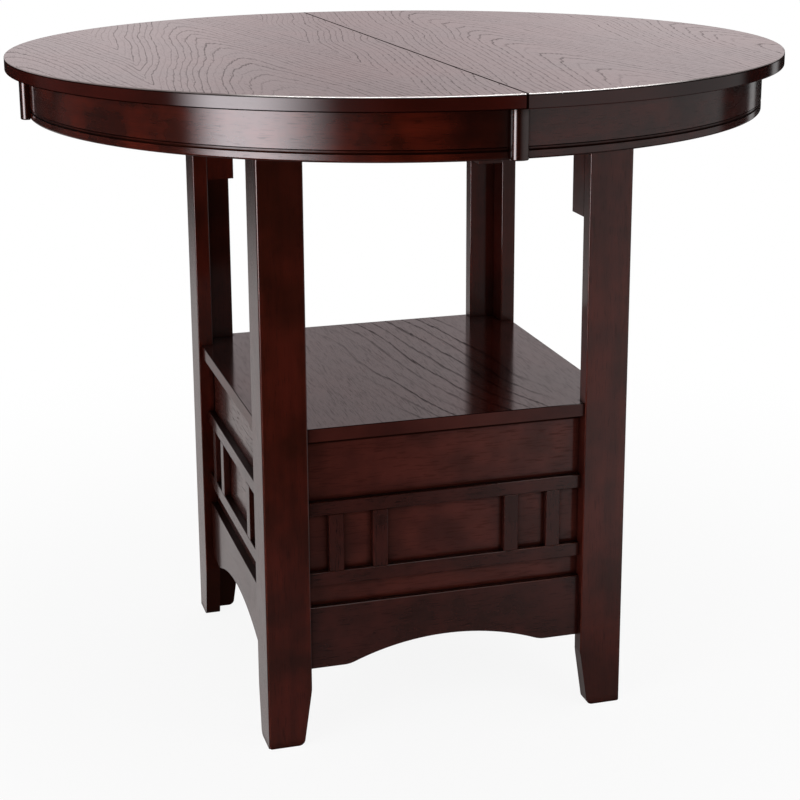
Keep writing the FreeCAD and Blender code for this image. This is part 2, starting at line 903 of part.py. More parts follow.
def frame_screws():
    screws = []
    for corner in range(corner_count):
        for seat, direction in bracket_screw_seats():
            screw = pan_screw(screw_radius, frame_screw_length, screw_head_radius,
                              screw_head_height, seat, direction)
            screws.append(turned(screw, corner * quarter_turn))
    for row in (-1, 1):
        for seat in center_screw_seats(row):
            screws.append(pan_screw(screw_radius, frame_screw_length, screw_head_radius,
                                    screw_head_height, seat, vector(0, 0, -1)))
    return screws


# Nodes

# Corners and sides are made at the back, or at the back right, and turned to their places.
corner_names = ("back_right", "back_left", "front_left", "front_right")
face_names = ("back", "left", "front", "right")


def group(shapes):
    return Part.makeCompound(shapes)


def base_nodes():
    nodes = {}
    cleats, brackets, bracket_bolts, leg_bolts = [], [], [], []
    seat, direction, length = diagonal_bolt()
    bracket_bolt = hex_bolt(bracket_bolt_radius, length, bracket_bolt_head_radius,
                            bracket_bolt_head_height, seat, direction)
    for index, corner in enumerate(corner_names):
        turn = index * quarter_turn
        boards = (leg_face_board(), leg_side_board())
        faces = (face_names[index], face_names[index - 1])
        for board, face in zip(boards, faces):
            word = face if face in ("front", "back") else "side"
            nodes[f"{corner}_leg_{word}_board"] = turned(board, turn)
        nodes[f"{corner}_leg_block"] = turned(leg_block(), turn)
        cleats.append(turned(cleat(), turn))
        brackets.append(turned(bracket(), turn))
        bracket_bolts.append(turned(bracket_bolt, turn))
        for bolt in corner_leg_bolts():
            leg_bolts.append(turned(bolt, turn))
    nodes["box_corner_cleats"] = group(cleats)
    nodes["corner_brackets"] = group(brackets)
    nodes["bracket_bolts"] = group(bracket_bolts)
    nodes["leg_bolts"] = group(leg_bolts)
    nodes["shelf"] = shelf()
    for index, face in enumerate(face_names):
        turn = index * quarter_turn
        along_front = face in ("front", "back")
        # A panel meets the face board of one leg at +x and the side board of the next at -x.
        half_length = inner_face if along_front else inner_face - panel_thickness
        board = panel(half_length)
        holes = []
        for side in (-1, 1):
            first = side > 0
            shares = leg_bolt_face_height_shares if first else leg_bolt_side_height_shares
            for hole in panel_bolt_holes(shares):
                if hole.BoundBox.Center.x * side > 0:
                    holes.append(hole)
        nodes[f"{face}_panel"] = turned(board.cut(holes), turn)
        nodes[f"{face}_lattice_strips"] = turned(group(lattice_strips()), turn)
        nodes[f"{face}_lattice_slats"] = turned(group(lattice_slats()), turn)
        nodes[f"{face}_arched_board"] = turned(arched_board(), turn)
        rail = top_rail()
        if not along_front:
            rail = rail.cut(side_rail_holes())
        nodes[f"{face}_top_rail"] = turned(rail, turn)
    for row, word in ((-1, "front"), (1, "back")):
        nodes[f"{word}_center_runner"] = center_runner(row)
        nodes[f"{word}_pinion"] = pinion(row)
    nodes["frame_screws"] = group(frame_screws())
    return nodes


def half_nodes(side, word):
    nodes = {f"{word}_top": half_top(side)}
    start = quarter_turn if side < 0 else 0
    nodes[f"{word}_back_apron"] = quarter_apron(start, side)
    nodes[f"{word}_front_apron"] = quarter_apron(start + side * -quarter_turn, side)
    end_turn = full_turn / 2 if side < 0 else 0
    nodes[f"{word}_end_block"] = turned(cover_block(0), end_turn)
    nodes[f"{word}_glue_blocks"] = group(glue_blocks(side))
    for row, place in ((-1, "front"), (1, "back")):
        nodes[f"{word}_{place}_runner"] = half_runner(side, row)
    nodes[f"{word}_runner_screws"] = group(half_runner_screws(side))
    return nodes


def seam_nodes():
    """Cover blocks over the seam's ends and the dowels across it, all on the right half."""
    front = turned(cover_block(-1), -quarter_turn)
    back = turned(cover_block(1), quarter_turn)
    return {
        "seam_blocks": group([front, back]),
        "alignment_dowels": group(alignment_dowels()),
    }


def main():
    os.makedirs("parts", exist_ok=True)
    nodes = base_nodes()
    nodes.update(half_nodes(-1, "left"))
    nodes.update(half_nodes(1, "right"))
    nodes.update(seam_nodes())
    for name, shape in nodes.items():
        if not shape.isValid() or not shape.Solids:
            print("check", name, shape.isValid(), len(shape.Solids))
        shape.exportStep(f"parts/{name}.step")
    print(len(nodes), "nodes written")


main()
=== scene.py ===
import bpy
import math
import numpy as np
from mathutils import Matrix, Vector


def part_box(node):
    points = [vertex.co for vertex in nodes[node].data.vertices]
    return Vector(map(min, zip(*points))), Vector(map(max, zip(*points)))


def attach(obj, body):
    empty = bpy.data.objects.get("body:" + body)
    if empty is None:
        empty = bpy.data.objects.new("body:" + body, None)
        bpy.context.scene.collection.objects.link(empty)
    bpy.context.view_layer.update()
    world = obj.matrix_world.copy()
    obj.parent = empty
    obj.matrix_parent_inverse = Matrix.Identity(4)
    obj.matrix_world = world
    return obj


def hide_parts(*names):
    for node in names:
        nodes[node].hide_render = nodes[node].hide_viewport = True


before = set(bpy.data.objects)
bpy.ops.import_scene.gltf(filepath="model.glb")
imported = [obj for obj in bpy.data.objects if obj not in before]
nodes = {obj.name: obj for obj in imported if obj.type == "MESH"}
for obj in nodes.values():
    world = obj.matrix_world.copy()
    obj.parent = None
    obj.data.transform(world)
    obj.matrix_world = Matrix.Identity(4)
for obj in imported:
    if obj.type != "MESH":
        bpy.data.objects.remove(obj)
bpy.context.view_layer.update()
print("frame loaded:", len(nodes), "pieces")


# Small helpers for node trees

def feed(tree, value, socket):
    # a socket is linked, anything else is set as the socket's own value
    if isinstance(value, bpy.types.NodeSocket):
        tree.links.new(value, socket)
    elif not hasattr(value, "__len__") or len(value) == len(socket.default_value):
        socket.default_value = value
    else:
        socket.default_value = (*value, 1.0)


def fill(tree, node, values):
    for socket, value in values.items():
        feed(tree, value, node.inputs[socket])


def addNode(tree, kind, values=None, **settings):
    node = tree.nodes.new(kind)
    for name, value in settings.items():
        setattr(node, name, value)
    fill(tree, node, values or {})
    return node


def calc(tree, operation, *terms):
    return addNode(tree, "ShaderNodeMath", dict(enumerate(terms)), operation=operation).outputs[0]


def times(tree, *terms):
    total = terms[0]
    for term in terms[1:]:
        total = calc(tree, "MULTIPLY", total, term)
    return total


def inverse(tree, mask):
    return calc(tree, "SUBTRACT", 1.0, mask)


def remap(tree, value, low, high, toLow=0.0, toHigh=1.0, shape="SMOOTHSTEP"):
    terms = dict(enumerate((value, low, high, toLow, toHigh)))
    return addNode(tree, "ShaderNodeMapRange", terms, interpolation_type=shape).outputs[0]


def between(tree, value, rise, fall):
    # grows from 0 to 1 over the rise and sinks back to 0 over the fall, each given as (start, end)
    return times(tree, remap(tree, value, *rise), remap(tree, value, *fall, 1.0, 0.0))


def mixColours(tree, share, first, second, blend="MIX"):
    values = {0: share, 6: first, 7: second}
    return addNode(tree, "ShaderNodeMix", values, data_type="RGBA", blend_type=blend).outputs[2]


def mixShaders(tree, share, first, second):
    return addNode(tree, "ShaderNodeMixShader", {0: share, 1: first, 2: second}).outputs[0]


def noise(tree, vector, scale, detail=2.0, roughness=0.5):
    values = {"Vector": vector, "Scale": scale, "Detail": detail, "Roughness": roughness}
    return addNode(tree, "ShaderNodeTexNoise", values, noise_dimensions="3D").outputs["Fac"]


def joinVector(tree, x, y, z):
    return addNode(tree, "ShaderNodeCombineXYZ", {"X": x, "Y": y, "Z": z}).outputs[0]


def partsOf(tree, vector):
    return addNode(tree, "ShaderNodeSeparateXYZ", {0: vector}).outputs


def vectorMath(tree, operation, first, second, result="Vector"):
    return addNode(tree, "ShaderNodeVectorMath", {0: first, 1: second}, operation=operation).outputs[result]


def stretch(tree, vector, x, y, z):
    factors = (x, y, z)
    if any(isinstance(factor, bpy.types.NodeSocket) for factor in factors):
        factors = joinVector(tree, x, y, z)
    return vectorMath(tree, "MULTIPLY", vector, factors)


def objectPlace(tree):
    return addNode(tree, "ShaderNodeTexCoord").outputs["Object"]


def faceNormal(tree):
    return addNode(tree, "ShaderNodeNewGeometry").outputs["Normal"]


def normalZ(tree):
    return partsOf(tree, faceNormal(tree))["Z"]


def newGroup(name, inputs, outputs):
    # inputs: {name: (kind, value)}, outputs: {name: kind}
    tree = bpy.data.node_groups.new(name, "ShaderNodeTree")
    kinds = {"vector": "NodeSocketVector", "number": "NodeSocketFloat", "colour": "NodeSocketColor"}
    for socket, (kind, value) in inputs.items():
        made = tree.interface.new_socket(socket, in_out="INPUT", socket_type=kinds[kind])
        if value is not None:
            made.default_value = (*value, 1.0) if kind == "colour" else value
    for socket, kind in outputs.items():
        tree.interface.new_socket(socket, in_out="OUTPUT", socket_type=kinds[kind])
    start = tree.nodes.new("NodeGroupInput")
    end = tree.nodes.new("NodeGroupOutput")
    return tree, start.outputs, end


def placeGroup(tree, group, values):
    return addNode(tree, "ShaderNodeGroup", values, node_tree=group).outputs


def srgb(red, green, blue):
    # colours are written as they look on screen, 0 to 255
    def linear(value):
        share = value / 255
        return share / 12.92 if share <= 0.04045 else ((share + 0.055) / 1.055) ** 2.4
    return linear(red), linear(green), linear(blue)


# Wood effects shared by the finishes. The board lies with its grain along x.

# Waves are per metre, along and across the grain. The ring's thin line and its wide soft side rise and
# fall over shares of one ring's width, and strength turns each ring's random number into how dark it is.
flameShape = {
    "sway": (3.2, 2.0), "jag": (7.0, 55.0), "fineJag": (20.0, 260.0), "drift": (2.5, 9.0), "fineShare": 0.6,
    "lineRise": (0.0, 0.04), "lineFall": (0.06, 0.22), "wideRise": (0.0, 0.1), "wideFall": (0.1, 0.9),
    "strength": (0.1, 0.8, 0.3, 1.0),
}


def makeFlameGrain():
    # Growth rings of a flat cut veneer. The rings are cones round a pith that lies under the sheet, so
    # the ring number is the root of (distance from the crest squared + depth squared), plus the taper
    # times the place along the grain, over the ring width. Leaves of one width lie mirrored in a row.
    tree, given, result = newGroup("flameGrain", {
        "Vector": ("vector", None), "Crest": ("number", 0.0), "Leaf Width": ("number", 0.28),
        "Pith Depth": ("number", 0.05), "Taper": ("number", 0.12), "Ring Width": ("number", 0.007),
        "Sway": ("number", 0.02), "Drift": ("number", 0.02), "Jag": ("number", 0.02), "Seed": ("number", 0.0),
    }, {"Line": "number", "Wide": "number"})
    parts = partsOf(tree, given["Vector"])
    place = vectorMath(tree, "ADD", given["Vector"], joinVector(tree, 0.0, 0.0, given["Seed"]))

    def wobble(waves, amount):
        along, across = flameShape[waves]
        drawn = noise(tree, stretch(tree, place, along, across, across), 1.0, detail=1.0)
        return times(tree, calc(tree, "SUBTRACT", drawn, 0.5), amount)

    across = calc(tree, "ADD", parts["Y"], wobble("sway", given["Sway"]))
    half = times(tree, given["Leaf Width"], 0.5)
    away = calc(tree, "PINGPONG", calc(tree, "SUBTRACT", across, given["Crest"]), half)
    depth = given["Pith Depth"]
    squares = calc(tree, "ADD", times(tree, away, away), times(tree, depth, depth))
    along = calc(tree, "ADD", parts["X"], wobble("jag", given["Jag"]))
    along = calc(tree, "ADD", along, wobble("fineJag", times(tree, given["Jag"], flameShape["fineShare"])))
    radius = calc(tree, "ADD", calc(tree, "SQRT", squares), times(tree, along, given["Taper"]))
    radius = calc(tree, "ADD", radius, wobble("drift", given["Drift"]))
    ring = calc(tree, "DIVIDE", radius, given["Ring Width"])
    step = calc(tree, "FRACT", ring)
    rings = addNode(tree, "ShaderNodeTexWhiteNoise", {"W": calc(tree, "FLOOR", ring)}, noise_dimensions="1D")
    strong = remap(tree, rings.outputs["Value"], *flameShape["strength"], "LINEAR")
    line = between(tree, step, flameShape["lineRise"], flameShape["lineFall"])
    wide = between(tree, step, flameShape["wideRise"], flameShape["wideFall"])
    fill(tree, result, {"Line": times(tree, line, strong), "Wide": times(tree, wide, strong)})
    return tree


# Streaks and fine fibres have the frequency 1 / streak width times these. A place is a pore where its
# noise passes the limit, which sinks as the share of pores grows.
fibreShape = {
    "streakAlong": 0.06, "fineAlong": 0.25, "fineAcross": 6.0, "poreScale": 0.5, "poreLimit": 0.72,
    "poreSpread": 0.3, "poreFade": 0.06,
}


def makeWoodFibres():
    # Streaks and pores: noise drawn out along the grain, at three widths.
    tree, given, result = newGroup("woodFibres", {
        "Vector": ("vector", None), "Streak Width": ("number", 0.012), "Pore Length": ("number", 0.008),
        "Pore Width": ("number", 0.0005), "Pore Share": ("number", 0.35),
    }, {"Streaks": "number", "Pores": "number", "Fine": "number"})
    vector = given["Vector"]
    thin = calc(tree, "DIVIDE", 1.0, given["Streak Width"])
    wide = stretch(tree, vector, times(tree, thin, fibreShape["streakAlong"]), thin, thin)
    thread = times(tree, thin, fibreShape["fineAcross"])
    fine = stretch(tree, vector, times(tree, thin, fibreShape["fineAlong"]), thread, thread)
    narrow = calc(tree, "DIVIDE", 1.0, given["Pore Width"])
    drawn = stretch(tree, vector, calc(tree, "DIVIDE", 1.0, given["Pore Length"]), narrow, narrow)
    spread = times(tree, given["Pore Share"], fibreShape["poreSpread"])
    limit = calc(tree, "SUBTRACT", fibreShape["poreLimit"], spread)
    full = calc(tree, "ADD", limit, fibreShape["poreFade"])
    fill(tree, result, {
        "Streaks": noise(tree, wide, 1.0, detail=3.0, roughness=0.6), "Fine": noise(tree, fine, 1.0),
        "Pores": remap(tree, noise(tree, drawn, fibreShape["poreScale"], detail=1.0), limit, full)})
    return tree


# The part of each noise that is spread over 0 to 1
stainShape = {"clouds": (0.32, 0.68), "streaks": (0.3, 0.7)}


def makeCloudyStain():
    # Sprayed stain: two colours mixed by slow clouds, then darkened by streaks and by lines.
    tree, given, result = newGroup("cloudyStain", {
        "Vector": ("vector", None), "Deep": ("colour", (0.02, 0.004, 0.002)),
        "Warm": ("colour", (0.06, 0.012, 0.006)), "Cloud Size": ("number", 0.12),
        "Streaks": ("number", 0.5), "Streak Depth": ("number", 0.4),
        "Lines": ("number", 0.0), "Line Depth": ("number", 0.5),
    }, {"Colour": "colour", "Cloud": "number"})
    size = calc(tree, "DIVIDE", 1.0, given["Cloud Size"])
    clouds = noise(tree, given["Vector"], size, detail=3.0, roughness=0.55)
    cloud = remap(tree, clouds, *stainShape["clouds"])
    colour = mixColours(tree, cloud, given["Deep"], given["Warm"])
    streak = remap(tree, given["Streaks"], *stainShape["streaks"], 0.0, 1.0, "LINEAR")
    fade = inverse(tree, times(tree, streak, given["Streak Depth"]))
    dark = inverse(tree, times(tree, given["Lines"], given["Line Depth"]))
    level = times(tree, fade, dark)
    grey = addNode(tree, "ShaderNodeCombineColor", {"Red": level, "Green": level, "Blue": level}).outputs[0]
    fill(tree, result, {"Colour": mixColours(tree, 1.0, colour, grey, "MULTIPLY"), "Cloud": cloud})
    return tree


# Scales are per metre, and a ring's line is sunk by a share of a pore's depth.
skinShape = {"peelScale": 260.0, "lineShare": 0.6, "rubScale": 14.0, "rub": (0.3, 0.7, 0.0, 0.12)}


def makeLacquerSkin():
    # Height of the lacquer film: slight orange peel over pores and lines that it doesn't quite fill.
    tree, given, result = newGroup("lacquerSkin", {
        "Vector": ("vector", None), "Pores": ("number", 0.0), "Lines": ("number", 0.0),
        "Peel": ("number", 0.15), "Open": ("number", 0.5), "Sheen": ("number", 0.3),
    }, {"Height": "number", "Roughness": "number"})
    peel = times(tree, noise(tree, given["Vector"], skinShape["peelScale"], detail=1.0), given["Peel"])
    sunk = calc(tree, "MAXIMUM", given["Pores"], times(tree, given["Lines"], skinShape["lineShare"]))
    rub = noise(tree, given["Vector"], skinShape["rubScale"], detail=3.0, roughness=0.6)
    fill(tree, result, {
        "Height": calc(tree, "SUBTRACT", peel, times(tree, sunk, given["Open"])),
        "Roughness": calc(tree, "ADD", given["Sheen"], remap(tree, rub, *skinShape["rub"]))})
    return tree


metalShape = {"spotScale": 90.0, "spots": (0.35, 0.7), "spotGrit": 0.12}


def makeMetalSkin():
    # Bare or plated metal: a mottled colour, dull spots, and fine draw lines where Drawn stays small.
    tree, given, result = newGroup("metalSkin", {
        "Vector": ("vector", None), "Drawn": ("vector", (1500.0, 1500.0, 60.0)),
        "Bright": ("colour", (0.5, 0.5, 0.52)),
        "Dull": ("colour", (0.3, 0.3, 0.31)), "Grit": ("number", 0.25),
    }, {"Colour": "colour", "Roughness": "number", "Height": "number"})
    spots = noise(tree, given["Vector"], metalShape["spotScale"], detail=4.0, roughness=0.6)
    lines = noise(tree, vectorMath(tree, "MULTIPLY", given["Vector"], given["Drawn"]), 1.0)
    mottled = mixColours(tree, remap(tree, spots, *metalShape["spots"]), given["Bright"], given["Dull"])
    rough = calc(tree, "ADD", given["Grit"], times(tree, spots, metalShape["spotGrit"]))
    fill(tree, result, {"Colour": mottled, "Roughness": rough, "Height": lines})
    return tree


flameGrain = makeFlameGrain()
woodFibres = makeWoodFibres()
cloudyStain = makeCloudyStain()
lacquerSkin = makeLacquerSkin()
metalSkin = makeMetalSkin()
print("shared effects ready")


# Finishes

grainTurns = {
    "x": (0.0, 0.0, 0.0),
    "y": (0.0, 0.0, -math.pi / 2),
    "z": (0.0, math.pi / 2, 0.0),
}

# Where masks begin and end, by the z of a face's normal: 1 looks up, 0 is upright, -1 looks down.
slopes = {
    "flat": (0.6, 0.85), "underside": (-0.9, -0.6), "ledge": (0.15, 0.5), "lineTop": (0.1, 0.3),
    "roundRise": (0.06, 0.2), "roundFall": (0.94, 0.99),
    "chamferRise": (0.2, 0.5), "chamferFall": (0.9, 0.98),
}


def turnAndRadius(tree, place):
    # where a point stands round the table: its turn from +x in radians, and how far out it is
    parts = partsOf(tree, place)
    turn = calc(tree, "ARCTAN2", parts["Y"], parts["X"])
    squares = calc(tree, "ADD", times(tree, parts["X"], parts["X"]), times(tree, parts["Y"], parts["Y"]))
    return turn, calc(tree, "SQRT", squares)


def roundVector(tree, place, bendRadius):
    # unrolled round the table: x is the length of the curve, y the height and z the radius
    turn, radius = turnAndRadius(tree, place)
    return joinVector(tree, times(tree, turn, bendRadius), partsOf(tree, place)["Z"], radius)


def levelMask(tree):
    # 1 on faces that look up or down, 0 on upright ones
    return remap(tree, calc(tree, "ABSOLUTE", normalZ(tree)), *slopes["flat"])


def boardVector(tree, values):
    # the object's coordinates turned so that the grain runs along x. On a sheet with an edge band, the
    # upright faces have coordinates that run along the band.
    place = objectPlace(tree)
    if values["grain"] == "round":
        return roundVector(tree, place, values["bendRadius"])
    turned = addNode(tree, "ShaderNodeMapping", {"Vector": place, "Rotation": grainTurns[values["grain"]]})
    if "edge" not in values:
        return turned.outputs[0]
    if values["edge"] == "round":
        band = roundVector(tree, place, values["bendRadius"])
    else:
        parts = partsOf(tree, place)
        band = joinVector(tree, calc(tree, "ADD", parts["X"], parts["Y"]), parts["Z"], 0.0)
    pick = {0: levelMask(tree), 4: band, 5: turned.outputs[0]}
    return addNode(tree, "ShaderNodeMix", pick, data_type="VECTOR").outputs[1]


def newMaterial(name):
    material = bpy.data.materials.new(name)
    material.use_nodes = True
    tree = material.node_tree
    return material, tree, tree.nodes["Principled BSDF"]


def woodFigure(tree, values, vector, flat):
    # the streaks, and masks of the pores and of the growth rings' lines
    fibres = placeGroup(tree, woodFibres, {
        "Vector": vector, "Streak Width": values["streakWidth"], "Pore Length": values["poreLength"],
        "Pore Width": values["poreWidth"], "Pore Share": values["poreShare"]})
    pores, line = fibres["Pores"], 0.0
    if "edge" in values:
        pores = times(tree, pores, remap(tree, flat, 0.0, 1.0, values["edgePores"], 1.0, "LINEAR"))
    if "flame" in values:
        flame = placeGroup(tree, flameGrain, {"Vector": vector, **values["flame"]})
        line = times(tree, flame["Line"], remap(tree, fibres["Fine"], *values["ragged"]), flat)
        if "figureRise" in values:
            # the figure shows in one band of the sheet, and the rest is nearly plain
            band = between(tree, partsOf(tree, vector)["Y"], values["figureRise"], values["figureFall"])
            line = times(tree, line, remap(tree, band, 0.0, 1.0, values["figureRest"], 1.0, "LINEAR"))
        porous = times(tree, flame["Wide"], values["ringPores"])
        pores = times(tree, pores, calc(tree, "ADD", porous, 1.0 - values["ringPores"]))
    return fibres["Streaks"], pores, line


def arrisHighlightMask(tree, values, vector):
    # a painted highlight on the round upper arris: near white, in patches, brightest in front
    arris = between(tree, normalZ(tree), slopes["roundRise"], slopes["roundFall"])
    worn = remap(tree, noise(tree, vector, values["arrisHighlightScale"]), *values["arrisHighlightPatches"])
    turn = turnAndRadius(tree, objectPlace(tree))[0]
    aside = calc(tree, "ABSOLUTE", calc(tree, "SUBTRACT", turn, values["arrisHighlightTurn"]))
    return times(tree, arris, times(tree, worn, remap(tree, aside, *values["arrisHighlightReach"])))


def darkPlaces(tree, values):
    # masks of the dark places, where the lacquer is made thin too: painted shade in the groove, on ledges and
    # chamfers and on the feet's inner faces, painted shadow lines, and the seam's dark joint
    found = []
    place = objectPlace(tree)
    parts = partsOf(tree, place)
    slope = normalZ(tree)
    if "groove" in values:
        # painted shade inside the apron's groove
        found.append(remap(tree, turnAndRadius(tree, place)[1], *values["groove"], 1.0, 0.0))
    if "topLine" in values:
        # a thin painted shade line just under the arris
        upright = remap(tree, slope, *slopes["lineTop"], values["topLineDark"], 0.0)
        found.append(times(tree, remap(tree, parts["Z"], *values["topLine"]), upright))
    if "seamLine" in values:
        # where the halves meet
        found.append(remap(tree, calc(tree, "ABSOLUTE", parts["X"]), *values["seamLine"], 1.0, 0.0))
    if "ledge" in values:
        # painted shade on narrow ledges that face up, and on their chamfers
        found.append(remap(tree, slope, *slopes["ledge"], 0.0, values["ledge"]))
    if "lowLine" in values:
        # a painted shadow line along the lower edge
        found.append(remap(tree, parts["Z"], *values["lowLine"], 1.0, 0.0))
    if "darkArris" in values:
        # painted shade on the chamfered upper edge
        chamfer = between(tree, slope, slopes["chamferRise"], slopes["chamferFall"])
        found.append(times(tree, chamfer, values["darkArris"]))
    if "paintedShelfShadow" in values:
        # painted shadow on the panels under the shelf's overhang
        found.append(remap(tree, parts["Z"], *values["paintedShelfShadow"]))
    if "footShade" in values:
        # the feet's inner faces, which look towards the table's middle, are in the shade of the box
        level = stretch(tree, place, 1.0, 1.0, 0.0)
        outward = vectorMath(tree, "DOT_PRODUCT", level, faceNormal(tree), "Value")
        low = remap(tree, parts["Z"], *values["footHeight"], values["footShade"], 0.0)
        found.append(times(tree, low, remap(tree, outward, *values["footInward"], 1.0, 0.0)))
    return found


def coatWeight(tree, values, flat, pores, line, paintedCornerShade, dark):
    # how much clear lacquer lies on each place
    dull = times(tree, pores, values["poreDull"])
    if "flame" in values:
        dull = calc(tree, "MAXIMUM", dull, times(tree, line, values["lineDull"]))
    weight = times(tree, inverse(tree, calc(tree, "MAXIMUM", dull, paintedCornerShade)), values["coat"])
    if "edge" in values:
        # the underside is sprayed thin
        below = remap(tree, normalZ(tree), *slopes["underside"], values["underCoat"], 1.0)
        rim = remap(tree, flat, 0.0, 1.0, values["edgeCoat"], 1.0)
        weight = times(tree, weight, times(tree, below, rim))
    for mask in dark:
        weight = times(tree, weight, inverse(tree, mask))
    return weight


def woodMaterial(name, values):
    material, tree, shader = newMaterial(name)
    vector = boardVector(tree, values)
    flat = levelMask(tree) if "edge" in values else 1.0
    streaks, pores, line = woodFigure(tree, values, vector, flat)
    # the pores' dark colour, which also paints all the shade below
    poreAndShadeColour = srgb(*values["pore"])
    stain = placeGroup(tree, cloudyStain, {
        "Vector": vector, "Deep": srgb(*values["deep"]), "Warm": srgb(*values["warm"]),
        "Cloud Size": values["cloudSize"], "Streaks": streaks,
        "Streak Depth": values["streakDepth"], "Lines": line, "Line Depth": values["lineDepth"]})
    colour = mixColours(tree, times(tree, pores, values["poreDark"]), stain["Colour"], poreAndShadeColour)
    if "edge" in values:
        band = mixColours(tree, stain["Cloud"], srgb(*values["edgeDeep"]), srgb(*values["edgeWarm"]))
        colour = mixColours(tree, flat, band, colour)
    # painted highlight: the round arris is mixed towards near white
    if "arrisHighlight" in values:
        colour = mixColours(tree, arrisHighlightMask(tree, values, vector), colour, srgb(*values["arrisHighlight"]))
    dark = darkPlaces(tree, values)
    for mask in dark:
        colour = mixColours(tree, mask, colour, poreAndShadeColour)
    if "seamShade" in values:
        # painted shade: darker towards the seam, under the full lacquer
        across = calc(tree, "ABSOLUTE", partsOf(tree, objectPlace(tree))["X"])
        colour = mixColours(tree, remap(tree, across, *values["seamShade"]), colour, poreAndShadeColour)
    # painted shade: the colour darkens in corners and along joints, where ambient occlusion finds them
    corner = addNode(tree, "ShaderNodeAmbientOcclusion", {"Distance": values["paintedCornerShadeReach"]}, samples=4)
    paintedCornerShade = remap(tree, corner.outputs["AO"], *values["paintedCornerShadeLight"], values["paintedCornerShade"], 0.0)
    colour = mixColours(tree, paintedCornerShade, colour, poreAndShadeColour)
    skin = placeGroup(tree, lacquerSkin, {
        "Vector": vector, "Pores": pores, "Lines": line, "Peel": values["peel"],
        "Open": values["open"], "Sheen": values["sheen"]})
    bump = addNode(tree, "ShaderNodeBump", {
        "Height": skin["Height"], "Strength": values["bump"], "Distance": values["bumpDepth"]})
    fill(tree, shader, {
        "Base Color": colour, "Roughness": skin["Roughness"], "Normal": bump.outputs[0],
        "Specular IOR Level": values["specular"], "Specular Tint": srgb(*values["glow"])})
    if values["coat"] > 0:
        fill(tree, shader, {
            "Coat Weight": coatWeight(tree, values, flat, pores, line, paintedCornerShade, dark),
            "Coat Roughness": values["coatRoughness"], "Coat IOR": values["coatIor"]})
    return material


def metalMaterial(name, values):
    material, tree, shader = newMaterial(name)
    skin = placeGroup(tree, metalSkin, {
        "Vector": objectPlace(tree), "Drawn": values["drawn"], "Bright": srgb(*values["bright"]),
        "Dull": srgb(*values["dull"]), "Grit": values["grit"]})
    bump = addNode(tree, "ShaderNodeBump", {
        "Height": skin["Height"], "Strength": values["bump"], "Distance": values["bumpDepth"]})
    fill(tree, shader, {
        "Base Color": skin["Colour"], "Roughness": skin["Roughness"], "Normal": bump.outputs[0],
        "Metallic": values["metallic"]})
    return material


# What all the lacquered boards have in common. Lengths are in metres. A pair of numbers says where a mask
# begins to change and where it ends, and in a row of four the last two are its values there.
lacquered = {
    "grain": "x", "bendRadius": 0.505, "streakWidth": 0.012, "poreLength": 0.009, "poreWidth": 0.0006,
    "poreShare": 0.35, "deep": (31, 7, 4), "warm": (54, 14, 8), "cloudSize": 0.06, "streakDepth": 0.4,
    "lineDepth": 0.5, "pore": (12, 3, 2), "poreDark": 0.5, "peel": 0.12, "open": 0.25, "sheen": 0.42,
    "bump": 0.12, "bumpDepth": 0.0002, "specular": 0.3, "glow": (255, 120, 70), "paintedCornerShade": 0.85,
    "paintedCornerShadeReach": 0.005, "paintedCornerShadeLight": (0.45, 0.95), "coat": 1.0, "coatRoughness": 0.12, "coatIor": 1.5,
    "poreDull": 0.2,
}

# Boards that nobody sees are left raw.
rawWood = {
    **lacquered, "deep": (168, 128, 88), "warm": (196, 158, 112), "pore": (120, 84, 52), "streakDepth": 0.22,
    "poreDark": 0.4, "sheen": 0.55, "glow": (255, 255, 255), "paintedCornerShade": 0.3, "coat": 0.0, "bump": 0.3,
    "peel": 0.4,
}

oak = {
    **lacquered, "poreLength": 0.014, "poreShare": 0.42, "poreDull": 0.4, "deep": (42, 12, 8),
    "warm": (66, 22, 15), "cloudSize": 0.14, "specular": 0.0, "streakDepth": 0.25, "ringPores": 0.7,
    "ragged": (0.3, 0.5, 0.45, 1.0), "edgeDeep": (38, 8, 4), "edgeWarm": (54, 13, 8), "edgeCoat": 1.0,
    "edgePores": 0.2, "underCoat": 0.25,
}

# The half tops. Their arris carries a painted highlight, brightest round one turn from +x, in radians, and
# fainter beyond its reach.
topOak = {
    **oak, "grain": "y", "lineDepth": 0.75, "lineDull": 0.6, "edge": "round", "bendRadius": 0.533,
    "arrisHighlight": (255, 248, 245), "arrisHighlightTurn": -1.67, "arrisHighlightReach": (0.4, 0.58, 1.0, 0.12),
    "arrisHighlightScale": 30.0, "arrisHighlightPatches": (0.3, 0.6, 0.7, 1.0), "topLine": (0.9117, 0.912),
    "topLineDark": 0.92, "seamLine": (0.00126, 0.0018),
}

panelOak = {
    **oak, "specular": 0.2, "streakDepth": 0.18, "cloudSize": 0.06, "paintedCornerShadeReach": 0.009,
    "paintedShelfShadow": (0.4205, 0.4225),
}

apronCherry = {**lacquered, "grain": "round", "groove": (0.5037, 0.5047), "specular": 0.1, "ledge": 0.95}

legCherry = {
    **lacquered, "grain": "z", "cloudSize": 0.07, "footShade": 0.85, "footHeight": (0.13, 0.22),
    "footInward": (-0.08, -0.02), "paintedCornerShadeReach": 0.012,
}

# The lattices and the arched boards
boardCherry = {
    **lacquered, "deep": (40, 16, 13), "warm": (55, 22, 18), "ledge": 0.95, "streakDepth": 0.2,
    "paintedCornerShadeReach": 0.009, "specular": 0.1,
}

railPoplar = {**rawWood, "deep": (158, 132, 92), "warm": (186, 162, 120)}

